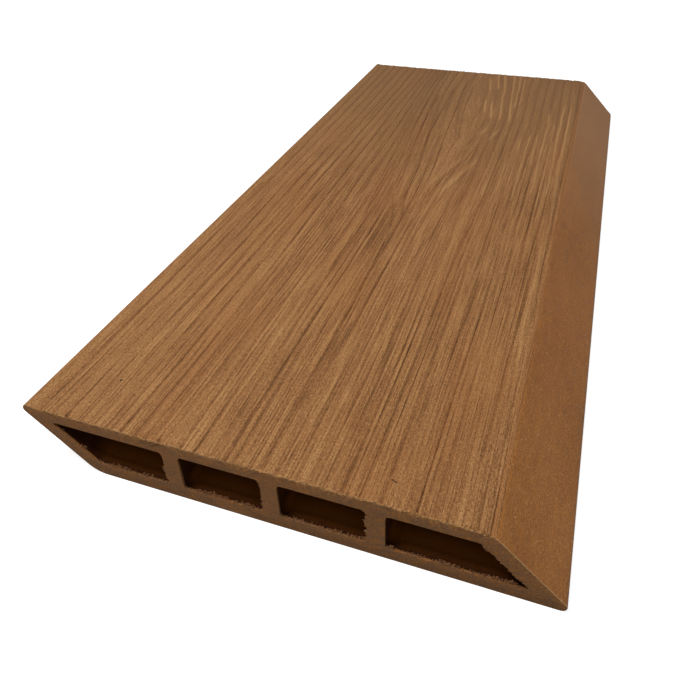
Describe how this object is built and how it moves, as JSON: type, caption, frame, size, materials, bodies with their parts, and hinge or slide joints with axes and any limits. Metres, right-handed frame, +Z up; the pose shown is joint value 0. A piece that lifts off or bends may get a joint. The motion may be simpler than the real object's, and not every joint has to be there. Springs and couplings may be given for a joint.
{
  "type": "composite fence board",
  "caption": "Hollow composite fence board with a parallelogram section, sloping long edges, an embossed wood-grain face and open cells at its cut ends.",
  "frame": {"origin": "middle of the underside, on the box that holds the board", "axes": "+X across the board towards the bottom nose, +Y along the board, +Z up out of the embossed face"},
  "size_m": [0.14, 0.3, 0.02],
  "materials": {
    "wood_composite": "matte"
  },
  "bodies": {
    "root": {"board": "wood_composite"}
  },
  "joints": []
}
